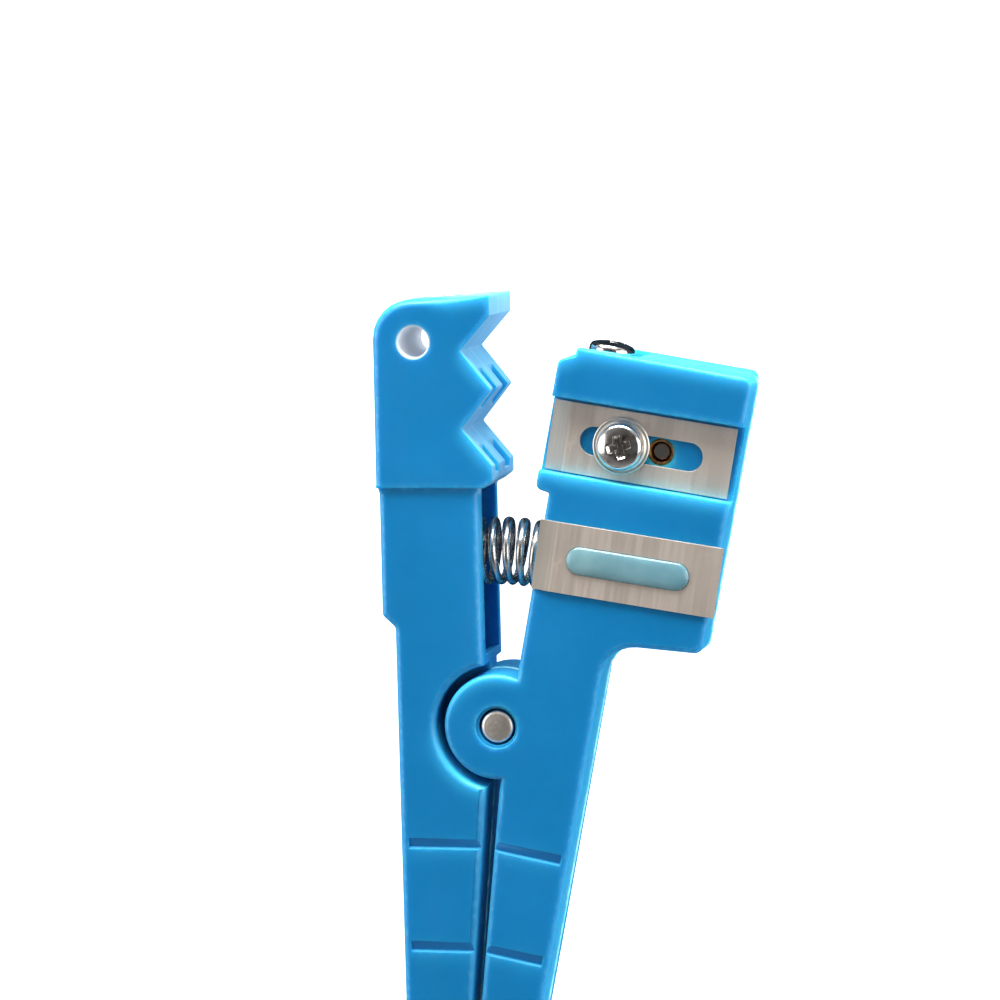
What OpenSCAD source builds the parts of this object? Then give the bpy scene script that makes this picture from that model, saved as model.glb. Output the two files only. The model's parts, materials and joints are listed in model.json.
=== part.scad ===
// Round-cable jacket stripper: a notched jaw arm and a blade arm on one pivot pin.
// X points across the tool, Y along the jaw arm towards the jaws, and Z through the thickness.
// The origin is the centre of the footprint, on the surface that the tool lies on.

/* [Arms] */
// Thickness of both arms
arm_t = 13; // [12:0.5:15]
// How far the jaw block stands proud of the arm on each face
jaw_proud = 0.5; // [0.2:0.1:1]
// Distance from the pivot to the tail of each arm
tail_y = 77; // [72:1:82]
// Angle between the arms when the tool is let go
open_angle = 11.3; // [10:0.1:11.3]
// Corner radius of the tail
tail_r = 1.6; // [0.5:0.1:2]

/* [Jaw] */
// Distance from the pivot to the top of the jaw block
jaw_top = 53; // [52:0.5:56]
// Distance from the pivot to the bottom of the jaw block
jaw_bottom = 29.5; // [28.5:0.5:30]
// Distance from the pivot to the root of the upper notch
notch_y = 46.3; // [45.8:0.1:46.6]
// Distance between the roots of the two notches
notch_pitch = 9.5; // [9:0.1:10]
// Depth of the notches
notch_depth = 3.75; // [3.25:0.05:4]
// Diameter of the hanging hole
hang_d = 3.8; // [3.5:0.1:5.5]

/* [Hinge] */
// Diameter of the pivot pin
pin_d = 4; // [3:0.1:4.4]
// Radius of the hinge discs
disc_r = 6.6; // [6:0.1:6.8]
// Radius of the sockets that the discs turn in
socket_r = 7.7; // [7.5:0.1:8]
// Radial clearance of the pin in the blade arm
pin_fit = 0.05; // [0.02:0.01:0.1]

/* [Blades] */
// Length of a blade
blade_l = 22.6; // [22:0.1:23.4]
// Width of a blade
blade_w = 8.6; // [8.2:0.1:8.8]
// Thickness of a blade
blade_t = 0.4; // [0.3:0.05:0.5]
// Length of the ground bevel
bevel_l = 2.1; // [1:0.1:2.3]
// Length of the slot in a blade
slot_l = 15.2; // [14.4:0.1:15.2]
// Width of the slot in a blade
slot_w = 3.5; // [3.2:0.1:3.8]

/* [Spring] */
// Outside diameter of the return spring
spring_d = 8.5; // [7:0.1:8.6]
// Wire diameter of the return spring
wire_d = 1.1; // [0.8:0.05:1.1]
// Number of turns
turns = 11; // [8:1:11]
// Distance from the pivot to the spring's axis
spring_y = 21.1; // [20.5:0.1:22.5]

/* [Hidden] */
$fn = 64;

plastic = [0.10, 0.51, 0.78];
steel = [0.63, 0.60, 0.56];
chrome = [0.80, 0.80, 0.82];
brass = [0.78, 0.62, 0.30];
teal = [0.43, 0.65, 0.73];

// Levels through the thickness
back_z = jaw_proud;
front_z = back_z + arm_t;
jaw_t = arm_t + 2 * jaw_proud;
mid_z = jaw_t / 2;
knuckle_z0 = back_z + 0.3 * arm_t;
knuckle_z1 = back_z + 0.6 * arm_t;
layer_gap = 0.1;

// Outline of the arms, measured from the pivot
outer_x = 12.35;
shoulder_x = 14.15;
jaw_x = 14.45;
jaw_rise = 0.65;
tip_x = 0.3;
inner_y = -7.7;
jaw_inner_x = 1.5;
jaw_taper = 0.085;
blade_inner_x = 1.65;
blade_taper = 0.0925;
neck_x = 1.25;
head_x = 23.2;
head_face_x = -0.47;
head_bottom = 14;
blade_outer_x = 11.75;
wall_x = 1.5;
wall_top = 47.7;
crest_rise = 0.4;

// Seats for the blades
seat_y = 36.67;
seat_tilt = 1.5;
seat_h = blade_w + 0.65;
seat_shift = 0.15;
front_seat_z = front_z - 2.2;
back_seat_z = back_z + 3.0;
top_seat_y = 46.0;
blade_x = -0.2;
slitting_x = 0.5;
slitting_l = 8.3;
slitting_slot_x = 2.6;
slitting_slot_l = 4.6;
slot_x = 3.8;
front_screw_x = 8.75;
back_screw_x = 13.6;
top_screw_x = 4.9;
spare_x = 1.05;
spare_y = 22.15;
spare_tilt = 2.2;

// Fasteners
insert_d = 3.3;
insert_bore = 2.5;
top_insert_l = 5;
shank_d = 2.4;
shank_l = 7;
top_shank_l = 4.6;
head_d = 5.7;
head_h = 2;
washer_d = 7;
washer_t = 0.5;

// Spring seats
pocket_d = spring_d + 0.5;
pocket_x = 7;
channel_x = -8;
channel_w = spring_d + 0.5;
seat_gap = 0.1;
coil_r = (spring_d - wire_d) / 2;

// The centre of the footprint, measured from the pivot
right_x = head_x * cos(open_angle) + (wall_top + crest_rise) * sin(open_angle);
low_y = -blade_outer_x * sin(open_angle) - tail_y * cos(open_angle);
centre_x = (right_x - jaw_x) / 2;
centre_y = (low_y + jaw_top) / 2;

function unit(v) = v / norm(v);

// One corner of an outline: p is [x, y, radius], and a and b are its neighbours
function corner(a, p, b, steps = 6) =
    p[2] <= 0 ? [[p[0], p[1]]] :
    let (at = [p[0], p[1]],
         u = unit([a[0], a[1]] - at),
         w = unit([b[0], b[1]] - at),
         half = acos(u * w) / 2,
         centre = at + unit(u + w) * p[2] / sin(half),
         from = at + u * p[2] / tan(half) - centre,
         to = at + w * p[2] / tan(half) - centre,
         a0 = atan2(from[1], from[0]),
         swing = atan2(to[1], to[0]) - a0,
         turn = swing > 180 ? swing - 360 : swing < -180 ? swing + 360 : swing)
    [for (i = [0:steps]) centre + p[2] * [cos(a0 + turn * i / steps), sin(a0 + turn * i / steps)]];

// An outline whose points carry their own corner radius
module outline(points) {
    n = len(points);
    polygon([for (i = [0:n - 1])
        each corner(points[(i + n - 1) % n], points[i], points[(i + 1) % n])]);
}

// Moves a part from the pivot's frame to the footprint's
module at_rest() {
    translate([-centre_x, -centre_y, 0]) children();
}

// The frame of the blade arm, in which its own handle points down Y
module on_blade_arm() {
    at_rest() rotate([0, 0, -open_angle]) children();
}

// The frame of the two ring blades' seats, which lie a little askew on the head
module on_seat() {
    on_blade_arm() translate([0, seat_y, 0]) rotate([0, 0, seat_tilt]) children();
}

// A prism between two levels
module slab(z0, z1) {
    translate([0, 0, z0]) linear_extrude(z1 - z0) children();
}

// Five saw-tooth grip grooves across both faces of a handle
module grip_grooves() {
    groove_pitch = 13;
    first_y = -15.1;
    depth = 0.35;
    slope = 1.1;
    lip = 0.25;
    across = 40;
    for (i = [0:4], face = [0, 1])
        translate([-across / 2, first_y - groove_pitch * i, face == 1 ? front_z : back_z])
            mirror([0, 0, 1 - face])
                rotate([90, 0, 90])
                    linear_extrude(across)
                        polygon([[slope, 0.5], [slope, 0], [0, -depth], [-lip, 0], [-lip, 0.5]]);
}

// ---- Jaw arm

module jaw_arm_outline() {
    outline([
        [-outer_x + 0.2, -tail_y, tail_r],
        [-jaw_inner_x - jaw_taper * (tail_y + inner_y), -tail_y, 1],
        [-jaw_inner_x, inner_y, 0],
        [-1.56, 10.7, 0],
        [-1.65, jaw_bottom + 1, 0],
        [-shoulder_x, jaw_bottom + 1, 0],
        [-shoulder_x, 13.7, 0.8],
        [-outer_x - 0.2, 12.2, 0.8],
        [-outer_x, -32, 0]]);
}

module jaw_outline() {
    root_x = tip_x - notch_depth;
    outline([
        [-jaw_x, jaw_bottom, 0.4],
        [-0.9, jaw_bottom, 0.5],
        [tip_x, jaw_bottom + 0.9, 0.5],
        [tip_x, notch_y - 1.5 * notch_pitch + 0.2, 0.3],
        [root_x, notch_y - notch_pitch, 0.25],
        [tip_x, notch_y - notch_pitch / 2, 0.4],
        [root_x, notch_y, 0.25],
        [tip_x, notch_y + notch_pitch / 2 - 0.5, 0.2],
        [tip_x, jaw_top, 0.2],
        [-jaw_x, jaw_top - jaw_rise, 4.8]]);
}

// The slots in the teeth that the ring blades enter
module blade_slots() {
    floor_x = -1.7;
    from_y = 31.3;
    front_slot = [9.9, 12.2];
    back_slot = [2.8, 6.0];
    for (slot = [front_slot, back_slot])
        translate([floor_x, from_y, slot[0]])
            cube([5, notch_y - from_y - 1, slot[1] - slot[0]]);
}

// The channel that holds the spring, open towards the blade arm
module spring_channel() {
    slab(mid_z - channel_w / 2, mid_z + channel_w / 2)
        difference() {
            translate([channel_x, 0]) square([12, jaw_bottom - 0.01]);
            circle(r = socket_r + 1.1);
        }
}

module jaw_arm() {
    at_rest() color(plastic) difference() {
        union() {
            slab(back_z, front_z)
                difference() {
                    jaw_arm_outline();
                    circle(r = socket_r);
                }
            slab(knuckle_z0, knuckle_z1) {
                circle(r = disc_r);
                jaw_arm_outline();
            }
            slab(0, jaw_t) jaw_outline();
        }
        translate([0, 0, knuckle_z0 - 1])
            cylinder(d = pin_d - 0.04, h = knuckle_z1 - knuckle_z0 + 2);
        translate([-9.25, 47.4, -1]) cylinder(d = hang_d, h = jaw_t + 2);
        blade_slots();
        spring_channel();
        grip_grooves();
    }
}

// ---- Blade arm

module blade_arm_outline() {
    outline([
        [blade_inner_x, inner_y, 0],
        [blade_inner_x + blade_taper * (tail_y + inner_y), -tail_y, 1],
        [blade_outer_x - 0.2, -tail_y, tail_r],
        [blade_outer_x, -32, 0],
        [blade_outer_x - 0.15, head_bottom - 1.2, 4],
        [head_x, head_bottom, 1.3],
        [head_x, wall_top + crest_rise, 1.2],
        [wall_x, wall_top, 0.3],
        [wall_x, wall_top - 0.95, 0.15],
        [head_face_x, wall_top - 1.8, 0.9],
        [head_face_x, 29.95, 0.8],
        [neck_x, 29.7, 0.2],
        [neck_x + 0.1, 7, 0]]);
}

// Recesses that the three working blades lie in
module blade_seats() {
    beyond = 2;
    translate([0, seat_y, 0]) rotate([0, 0, seat_tilt])
        for (level = [[front_seat_z, front_z + beyond], [back_z - beyond, back_seat_z]])
            translate([-beyond, seat_shift - seat_h / 2, level[0]])
                cube([head_x + 2 * beyond, seat_h, level[1] - level[0]]);
    translate([-beyond, top_seat_y, mid_z - seat_h / 2])
        cube([slitting_x + slitting_l + 0.2 + beyond, 5, seat_h]);
}

// Holes for the brass inserts
module insert_holes() {
    translate([0, seat_y, 0]) rotate([0, 0, seat_tilt])
        for (x = [front_screw_x, back_screw_x])
            translate([x, 0, 0]) cylinder(d = insert_d, h = jaw_t);
    translate([top_screw_x, top_seat_y - top_insert_l, mid_z])
        rotate([-90, 0, 0]) cylinder(d = insert_d, h = top_insert_l + 1);
}

module blade_arm() {
    face_ring_d = 5.2;
    on_blade_arm() color(plastic) difference() {
        union() {
            slab(back_z, knuckle_z0 - layer_gap) {
                blade_arm_outline();
                circle(r = disc_r);
            }
            slab(knuckle_z1 + layer_gap, front_z) {
                blade_arm_outline();
                circle(r = disc_r);
            }
            slab(back_z, front_z)
                difference() {
                    blade_arm_outline();
                    circle(r = socket_r);
                }
        }
        cylinder(r = pin_d / 2 + pin_fit, h = jaw_t);
        for (z = [back_z - 1, front_z - 0.5]) translate([0, 0, z]) cylinder(d = face_ring_d, h = 1.5);
        blade_seats();
        insert_holes();
        translate([neck_x - 2, spring_y, mid_z])
            rotate([0, 90, 0]) cylinder(d = pocket_d, h = pocket_x - neck_x + 2);
        grip_grooves();
    }
}

// ---- Hinge

module pivot_pin() {
    inset = 0.4;
    edge = 0.3;
    length = arm_t - 2 * inset;
    at_rest() translate([0, 0, back_z + inset]) color(chrome)
        rotate_extrude()
            polygon([[0, 0], [pin_d / 2 - edge, 0], [pin_d / 2, edge],
                     [pin_d / 2, length - edge], [pin_d / 2 - edge, length], [0, length]]);
}

// The spring's axis: straight out of the jaw arm, round the pivot, and straight into the blade arm
spring_in = -channel_x - seat_gap - wire_d / 2;
spring_bend = spring_y * open_angle * PI / 180;
spring_out = pocket_x - seat_gap - wire_d / 2;
spring_l = spring_in + spring_bend + spring_out;

function bend_at(s) =
    s < spring_in ? 0 :
    s > spring_in + spring_bend ? open_angle : open_angle * (s - spring_in) / spring_bend;

// A point in the spring's own straight frame, s along it and v off its axis, set on the bent axis
function on_axis(s, v) =
    let (a = bend_at(s),
         along = s < spring_in ? s - spring_in : max(0, s - spring_in - spring_bend),
         out = spring_y + v[0])
    [along * cos(a) + out * sin(a), out * cos(a) - along * sin(a), mid_z + v[1]];

module return_spring() {
    sides = 6;
    per_turn = 16;
    rings = turns * per_turn;
    dead = 0.75;
    // The end turns lie close together, so the pitch eases in and out
    rise = function (t) t < dead ? t * 1.05 * wire_d :
        t > turns - dead ? spring_l - (turns - t) * 1.05 * wire_d :
        dead * 1.05 * wire_d
        + (t - dead) * (spring_l - 2 * dead * 1.05 * wire_d) / (turns - 2 * dead);
    points = [for (i = [0:rings], k = [0:sides - 1])
        let (t = i * turns / rings,
             a = 360 * t,
             b = 360 * k / sides,
             r = coil_r + wire_d / 2 * cos(b))
        on_axis(rise(t) + wire_d / 2 * sin(b), [r * cos(a), r * sin(a)])];
    walls = [for (i = [0:rings - 1], k = [0:sides - 1])
        let (m = (k + 1) % sides)
        each [[i * sides + k, (i + 1) * sides + k, (i + 1) * sides + m],
              [i * sides + k, (i + 1) * sides + m, i * sides + m]]];
    caps = [[for (k = [0:sides - 1]) k],
            [for (k = [0:sides - 1]) rings * sides + sides - 1 - k]];
    at_rest() color(chrome) polyhedron(points, concat(walls, caps));
}

// ---- Blades

// A slot with round ends along X, its first end at x = 0
module stadium(length, width) {
    for (x = [width / 2, length - width / 2]) translate([x, 0]) circle(d = width);
    translate([width / 2, -width / 2]) square([length - width, width]);
}

// A blade lying flat, its ground edge at x = 0 and its ground side up
module blade(length = blade_l, slot_from = slot_x, slot = slot_l) {
    keen = 0.06;
    difference() {
        translate([0, blade_w / 2, 0]) rotate([90, 0, 0])
            linear_extrude(blade_w)
                polygon([[0, 0], [length, 0], [length, blade_t], [bevel_l, blade_t], [0, keen]]);
        translate([slot_from, 0]) slab(-1, blade_t + 1) stadium(slot, slot_w);
    }
}

module front_blade() {
    on_seat() color(steel) translate([blade_x, 0, front_seat_z]) blade();
}

module back_blade() {
    on_seat() color(steel) translate([blade_x, 0, back_seat_z]) mirror([0, 0, 1]) blade();
}

module slitting_blade() {
    on_blade_arm() color(steel) translate([slitting_x, top_seat_y, mid_z]) rotate([-90, 0, 0])
        blade(slitting_l, slitting_slot_x, slitting_slot_l);
}

module spare_place() {
    on_blade_arm() translate([spare_x, spare_y, front_z]) rotate([0, 0, spare_tilt]) children();
}

module spare_blade() {
    spare_place() color(steel) blade();
}

// The soft plug that holds the spare blade on the arm's face
module spare_blade_plug() {
    plug_gap = 0.05;
    plug_h = 0.7;
    crown = 0.25;
    inset = 0.6;
    spare_place() color(teal) translate([slot_x, 0, 0]) {
        translate([plug_gap, 0]) slab(0, plug_h) stadium(slot_l - 2 * plug_gap, slot_w - 2 * plug_gap);
        translate([inset, 0]) slab(0, plug_h + crown) stadium(slot_l - 2 * inset, slot_w - 2 * inset);
    }
}

// ---- Clamp screws, each with its washer and its insert, standing on z = 0 with the head up

module screw(length) {
    crown = 0.7;
    slot = 0.9;
    recess_d = 3.2;
    seat = blade_t + washer_t;
    difference() {
        union() {
            translate([0, 0, seat]) rotate_extrude()
                polygon(concat([[0, 0], [head_d / 2, 0]],
                    [for (i = [0:6])
                        [head_d / 2 - crown + crown * cos(15 * i), head_h - crown + crown * sin(15 * i)]],
                    [[0, head_h]]));
            translate([0, 0, -length]) cylinder(d = shank_d, h = length + seat + 0.5);
        }
        translate([0, 0, seat + head_h])
            for (a = [0, 90]) rotate([0, 0, a]) cube([recess_d, slot, 2.4], center = true);
    }
}

module washer() {
    translate([0, 0, blade_t])
        slab(0, washer_t)
            difference() {
                circle(d = washer_d);
                circle(d = shank_d + 0.3);
            }
}

module insert(length) {
    translate([0, 0, -length])
        slab(0, length)
            difference() {
                circle(d = insert_d);
                circle(d = insert_bore);
            }
}

module front_fixing() {
    on_seat() translate([front_screw_x, 0, front_seat_z]) children();
}

module back_fixing() {
    on_seat() translate([back_screw_x, 0, back_seat_z]) rotate([180, 0, 0]) children();
}

module top_fixing() {
    on_blade_arm() translate([top_screw_x, top_seat_y, mid_z]) rotate([-90, 0, 0]) children();
}

through_l = front_seat_z - back_seat_z;

module front_clamp_screw() { front_fixing() color(chrome) screw(shank_l); }
module back_clamp_screw() { back_fixing() color(chrome) screw(shank_l); }
module top_clamp_screw() { top_fixing() color(chrome) screw(top_shank_l); }
module front_washer() { front_fixing() color(steel) washer(); }
module back_washer() { back_fixing() color(steel) washer(); }
module top_washer() { top_fixing() color(steel) washer(); }
module front_insert() { front_fixing() color(brass) insert(through_l); }
module back_insert() { back_fixing() color(brass) insert(through_l); }
module top_insert() { top_fixing() color(brass) insert(top_insert_l); }

jaw_arm();
blade_arm();
pivot_pin();
return_spring();
front_blade();
back_blade();
slitting_blade();
spare_blade();
spare_blade_plug();
front_clamp_screw();
back_clamp_screw();
top_clamp_screw();
front_washer();
back_washer();
top_washer();
front_insert();
back_insert();
top_insert();
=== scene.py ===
import json
import math
import bmesh
import bpy
from mathutils import Matrix, Vector

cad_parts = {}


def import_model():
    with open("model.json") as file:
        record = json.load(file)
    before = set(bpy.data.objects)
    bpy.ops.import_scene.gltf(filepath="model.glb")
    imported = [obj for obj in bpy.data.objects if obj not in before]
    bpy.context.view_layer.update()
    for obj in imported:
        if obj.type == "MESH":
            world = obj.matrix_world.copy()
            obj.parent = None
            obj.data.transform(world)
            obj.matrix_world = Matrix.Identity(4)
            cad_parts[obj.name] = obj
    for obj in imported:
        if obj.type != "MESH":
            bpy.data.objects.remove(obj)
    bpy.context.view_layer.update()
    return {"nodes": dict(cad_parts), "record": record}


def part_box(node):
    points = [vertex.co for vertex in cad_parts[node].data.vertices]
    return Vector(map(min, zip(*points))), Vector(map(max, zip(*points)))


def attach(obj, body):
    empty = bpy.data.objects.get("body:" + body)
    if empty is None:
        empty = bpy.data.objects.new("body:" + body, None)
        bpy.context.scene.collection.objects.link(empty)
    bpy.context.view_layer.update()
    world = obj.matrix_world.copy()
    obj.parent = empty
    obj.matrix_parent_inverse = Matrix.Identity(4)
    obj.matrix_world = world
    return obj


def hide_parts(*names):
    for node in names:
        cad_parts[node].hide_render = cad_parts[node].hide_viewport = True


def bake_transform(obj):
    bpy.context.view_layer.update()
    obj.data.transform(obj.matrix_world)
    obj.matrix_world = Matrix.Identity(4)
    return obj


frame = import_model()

MM = 0.001
JOINTS = {j["name"]: j for j in frame["record"]["behaviour"]["joints"]}
PIVOT = Vector(JOINTS["arm_hinge"]["pos_m"])
ARM_X = -Vector(JOINTS["slitting_blade_slide"]["axis"])
SEAT_X = -Vector(JOINTS["front_blade_slide"]["axis"])
UP = Vector((0, 0, 1))
MID = PIVOT.z

# Places in mm, in the frames of the two arms: X across, Y up from the pivot, Z up from the table
PARTING = 8.0
HOLE_X, HOLE_Y = -9.25, 47.4
GRIP_TOP = -12
GROOVE_Y, GROOVE_PITCH = -15.1, 13
SEAT_MID = 36.82                # the height of the blade seats' centre line at x = 0
SEAT_HALF = 4.625
SEAT_SLOPE = math.sin(math.radians(1.5))
SPARE_TILT = math.radians(2.2)
# How far the faces lie from the middle of the thickness
ARM_FACE, BLOCK_FACE = 6.5, 7.0


def place(x_axis, y_axis, z_axis, origin):
    m = Matrix((x_axis, y_axis, z_axis)).transposed().to_4x4()
    m.translation = origin
    return m


def flat(x_axis, origin):
    return place(x_axis, UP.cross(x_axis), UP, origin)


GROUND = Vector((PIVOT.x, PIVOT.y, 0))
JAW = flat(Vector((1, 0, 0)), GROUND)
ARM = flat(ARM_X, GROUND)


def at(frame_matrix, x, y, z):
    return frame_matrix @ (Vector((x, y, z)) * MM)


# ---------------------------------------------------------------- node helpers

class Tree:
    def __init__(self, name):
        self.mat = bpy.data.materials.new(name)
        self.mat.use_nodes = True
        self.nt = self.mat.node_tree
        self.bsdf = self.nt.nodes["Principled BSDF"]

    def new(self, kind, **props):
        n = self.nt.nodes.new(kind)
        for key, value in props.items():
            setattr(n, key, value)
        return n

    def link(self, a, b):
        self.nt.links.new(a, b)

    def coords(self, scale=(1, 1, 1)):
        tc = self.new("ShaderNodeTexCoord")
        mp = self.new("ShaderNodeMapping")
        mp.inputs["Scale"].default_value = scale
        self.link(tc.outputs["Object"], mp.inputs["Vector"])
        return mp.outputs["Vector"]

    def noise(self, scale, detail=3, rough=0.5, stretch=(1, 1, 1)):
        n = self.new("ShaderNodeTexNoise")
        n.inputs["Scale"].default_value = scale
        n.inputs["Detail"].default_value = detail
        n.inputs["Roughness"].default_value = rough
        self.link(self.coords(stretch), n.inputs["Vector"])
        return n.outputs["Fac"]

    def ramp(self, fac, stops):
        r = self.new("ShaderNodeValToRGB")
        els = r.color_ramp.elements
        while len(els) < len(stops):
            els.new(0.5)
        for e, (pos, col) in zip(els, stops):
            e.position = pos
            e.color = (*col, 1) if isinstance(col, tuple) else (col, col, col, 1)
        self.link(fac, r.inputs["Fac"])
        return r.outputs["Color"]

    def mix(self, fac, a, b, mode="MIX"):
        m = self.new("ShaderNodeMix", data_type="RGBA", blend_type=mode)
        for socket, value in ((m.inputs["Factor"], fac), (m.inputs["A"], a), (m.inputs["B"], b)):
            self.feed(socket, value)
        return [o for o in m.outputs if o.type == "RGBA"][0]

    def feed(self, socket, value):
        if isinstance(value, bpy.types.NodeSocket):
            self.link(value, socket)
        elif isinstance(value, tuple):
            socket.default_value = (*value, 1)
        else:
            socket.default_value = value

    def math(self, op, a, b=0.0, clamp=False):
        m = self.new("ShaderNodeMath", operation=op, use_clamp=clamp)
        self.feed(m.inputs[0], a)
        self.feed(m.inputs[1], b)
        return m.outputs[0]

    def bump(self, height, strength, distance, normal=None):
        b = self.new("ShaderNodeBump")
        b.inputs["Strength"].default_value = strength
        b.inputs["Distance"].default_value = distance
        self.link(height, b.inputs["Height"])
        if normal:
            self.link(normal, b.inputs["Normal"])
        return b.outputs["Normal"]

    def rounded(self, radius):
        """The parts of the normal as if every edge were rounded to that radius."""
        bev = self.new("ShaderNodeBevel", samples=6)
        bev.inputs["Radius"].default_value = radius
        split = self.new("ShaderNodeSeparateXYZ")
        self.link(bev.outputs["Normal"], split.inputs[0])
        return [split.outputs[k] for k in "XYZ"]

    def set(self, **values):
        for key, value in values.items():
            self.feed(self.bsdf.inputs[key.replace("_", " ")], value)
        return self.mat


# ---------------------------------------------------------------- materials

def blue_plastic(name, deep, light, rough, grain, sub, glow=1.0, edge=(0.045, 0.38, 0.68), own_light=0.0,
                 grit=0.10):
    t = Tree(name)
    drift = t.ramp(t.noise(55, 4, 0.6), [(0.3, deep), (0.72, light)])
    flow = t.ramp(t.noise(9, 2, 0.5, (1, 0.35, 1)), [(0.35, 0.94), (0.7, 1.04)])
    body = t.mix(1.0, drift, flow, "MULTIPLY")
    # Painted highlight: the colour turns paler, toward the edge colour, along the rounded rims that catch
    # the light
    rim = t.rounded(1.5 * MM)
    lean = t.math("SUBTRACT", 1.0, t.math("ABSOLUTE", rim[2]))
    rim_highlight = t.ramp(lean, [(0.0, 0.0), (0.10, 0.55), (0.35, 1.0)])
    body = t.mix(t.math("MULTIPLY", rim_highlight, 0.62 * glow), body, edge)
    # Light enters at the edges that face it and fades into the body
    wide = t.rounded(3.4 * MM)
    toward = t.math("ADD", t.math("MULTIPLY", wide[1], 0.95), t.math("MULTIPLY", wide[0], 0.12), True)
    lit = t.ramp(toward, [(0.03, 0.0), (0.30, 0.42), (0.80, 1.0)])
    for x, y, reach in ((HOLE_X, HOLE_Y, 5.8), (0, 0, 6.0)):
        gap = t.new("ShaderNodeVectorMath", operation="DISTANCE")
        t.link(t.coords((1, 1, 0)), gap.inputs[0])
        gap.inputs[1].default_value = (x * MM, y * MM, 0)
        near = t.ramp(t.math("MULTIPLY", gap.outputs["Value"], 1 / (reach * MM)), [(0.7, 0.05), (1.0, 1.0)])
        lit = t.math("MULTIPLY", lit, near)
    body = t.mix(t.math("MULTIPLY", lit, 0.85 * glow), body, (0.07, 0.62, 0.90))
    # Painted highlights: a broken bright line where a rim starts, and another on the parting line
    dots = t.ramp(t.noise(1100, 3, 0.6), [(0.47, 0.0), (0.60, 1.0)])
    line = t.ramp(lean, [(0.080, 0.0), (0.110, 1.0), (0.15, 0.0)])
    body = t.mix(t.math("MULTIPLY", t.math("MULTIPLY", line, dots), 0.55 * glow), body, (0.30, 0.80, 0.98))
    z = t.new("ShaderNodeSeparateXYZ")
    t.link(t.coords(), z.inputs[0])
    off = t.math("ABSOLUTE", t.math("SUBTRACT", z.outputs["Z"], PARTING * MM))
    dashes = t.ramp(t.noise(420, 3, 0.6), [(0.40, 0.35), (0.60, 1.0)])
    parting_highlight = t.math("MULTIPLY", t.math("LESS_THAN", off, 0.16 * MM), dashes)
    body = t.mix(t.math("MULTIPLY", parting_highlight, 0.80 * glow), body, (0.62, 0.90, 1.0))
    # Dust, fine scratches and a grain that breaks up the shine
    specks = t.ramp(t.noise(2600, 2, 0.6), [(0.70, 0.0), (0.78, 1.0)])
    body = t.mix(t.math("MULTIPLY", specks, grit), body, (0.30, 0.66, 0.90))
    scratch = t.ramp(t.noise(700, 3, 0.5, (1, 0.04, 1)), [(0.60, 0.0), (0.66, 1.0)])
    r = t.math("ADD", t.math("MULTIPLY", t.noise(120, 4, 0.6), 0.16), rough - 0.08)
    r = t.math("ADD", r, t.math("MULTIPLY", scratch, 0.05))
    fine = t.bump(t.noise(3200, 3, 0.6), grain, 0.02 * MM)
    wavy = t.bump(t.noise(150, 2, 0.5), 0.25, 0.06 * MM, fine)
    t.link(wavy, t.bsdf.inputs["Normal"])
    t.bsdf.inputs["Subsurface Radius"].default_value = (0.06, 0.75, 1.0)
    t.bsdf.inputs["Subsurface Scale"].default_value = 2.6 * MM
    return t.set(Base_Color=body, Roughness=r, Subsurface_Weight=sub, IOR=1.45, Emission_Color=body,
                 Emission_Strength=own_light)


def steel(name, low, high, rough, streak=(1, 0.03, 1), pitch=1500, shade=None):
    t = Tree(name)
    lines = t.noise(pitch, 4, 0.65, streak)
    col = t.ramp(lines, [(0.25, low), (0.75, high)])
    cloud = t.ramp(t.noise(90, 3, 0.5), [(0.3, 0.90), (0.7, 1.05)])
    col = t.mix(1.0, col, cloud, "MULTIPLY")
    if shade:
        bands = t.ramp(t.noise(shade, 2, 0.4, (1, 0.02, 0.02)), [(0.35, 0.94), (0.65, 1.04)])
        col = t.mix(1.0, col, bands, "MULTIPLY")
    dirt = t.ramp(t.noise(500, 4, 0.7), [(0.62, 0.0), (0.75, 1.0)])
    col = t.mix(t.math("MULTIPLY", dirt, 0.18), col, (0.12, 0.10, 0.09))
    r = t.math("ADD", t.math("MULTIPLY", lines, 0.16), rough - 0.08)
    r = t.math("ADD", r, t.math("MULTIPLY", dirt, 0.12))
    t.link(t.bump(lines, 0.30, 0.012 * MM), t.bsdf.inputs["Normal"])
    return t.set(Base_Color=col, Roughness=r, Metallic=1.0)


def chrome(name, tint, dark, rough, scale=260):
    t = Tree(name)
    col = t.ramp(t.noise(scale, 4, 0.6), [(0.25, dark), (0.6, tint)])
    r = t.math("ADD", t.math("MULTIPLY", t.noise(scale * 2.5, 4, 0.7), 0.14), rough - 0.05)
    t.link(t.bump(t.noise(scale * 1.6, 3, 0.6), 0.35, 0.02 * MM), t.bsdf.inputs["Normal"])
    return t.set(Base_Color=col, Roughness=r, Metallic=1.0)


def turned(name, low, high):
    t = Tree(name)
    w = t.new("ShaderNodeTexWave", wave_type="RINGS", rings_direction="Z")
    w.inputs["Scale"].default_value = 900
    w.inputs["Distortion"].default_value = 2.5
    w.inputs["Detail"].default_value = 3
    w.inputs["Detail Scale"].default_value = 2
    t.link(t.coords(), w.inputs["Vector"])
    mottle = t.ramp(t.noise(900, 4, 0.65), [(0.3, low), (0.7, high)])
    col = t.mix(t.math("MULTIPLY", w.outputs["Fac"], 0.25), mottle, (0.86, 0.80, 0.74))
    r = t.math("ADD", t.math("MULTIPLY", t.noise(1500, 3, 0.6), 0.2), 0.28)
    t.link(t.bump(w.outputs["Fac"], 0.35, 0.012 * MM, t.bump(t.noise(1300, 4, 0.6), 0.4, 0.03 * MM)),
           t.bsdf.inputs["Normal"])
    return t.set(Base_Color=col, Roughness=r, Metallic=1.0)


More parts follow.
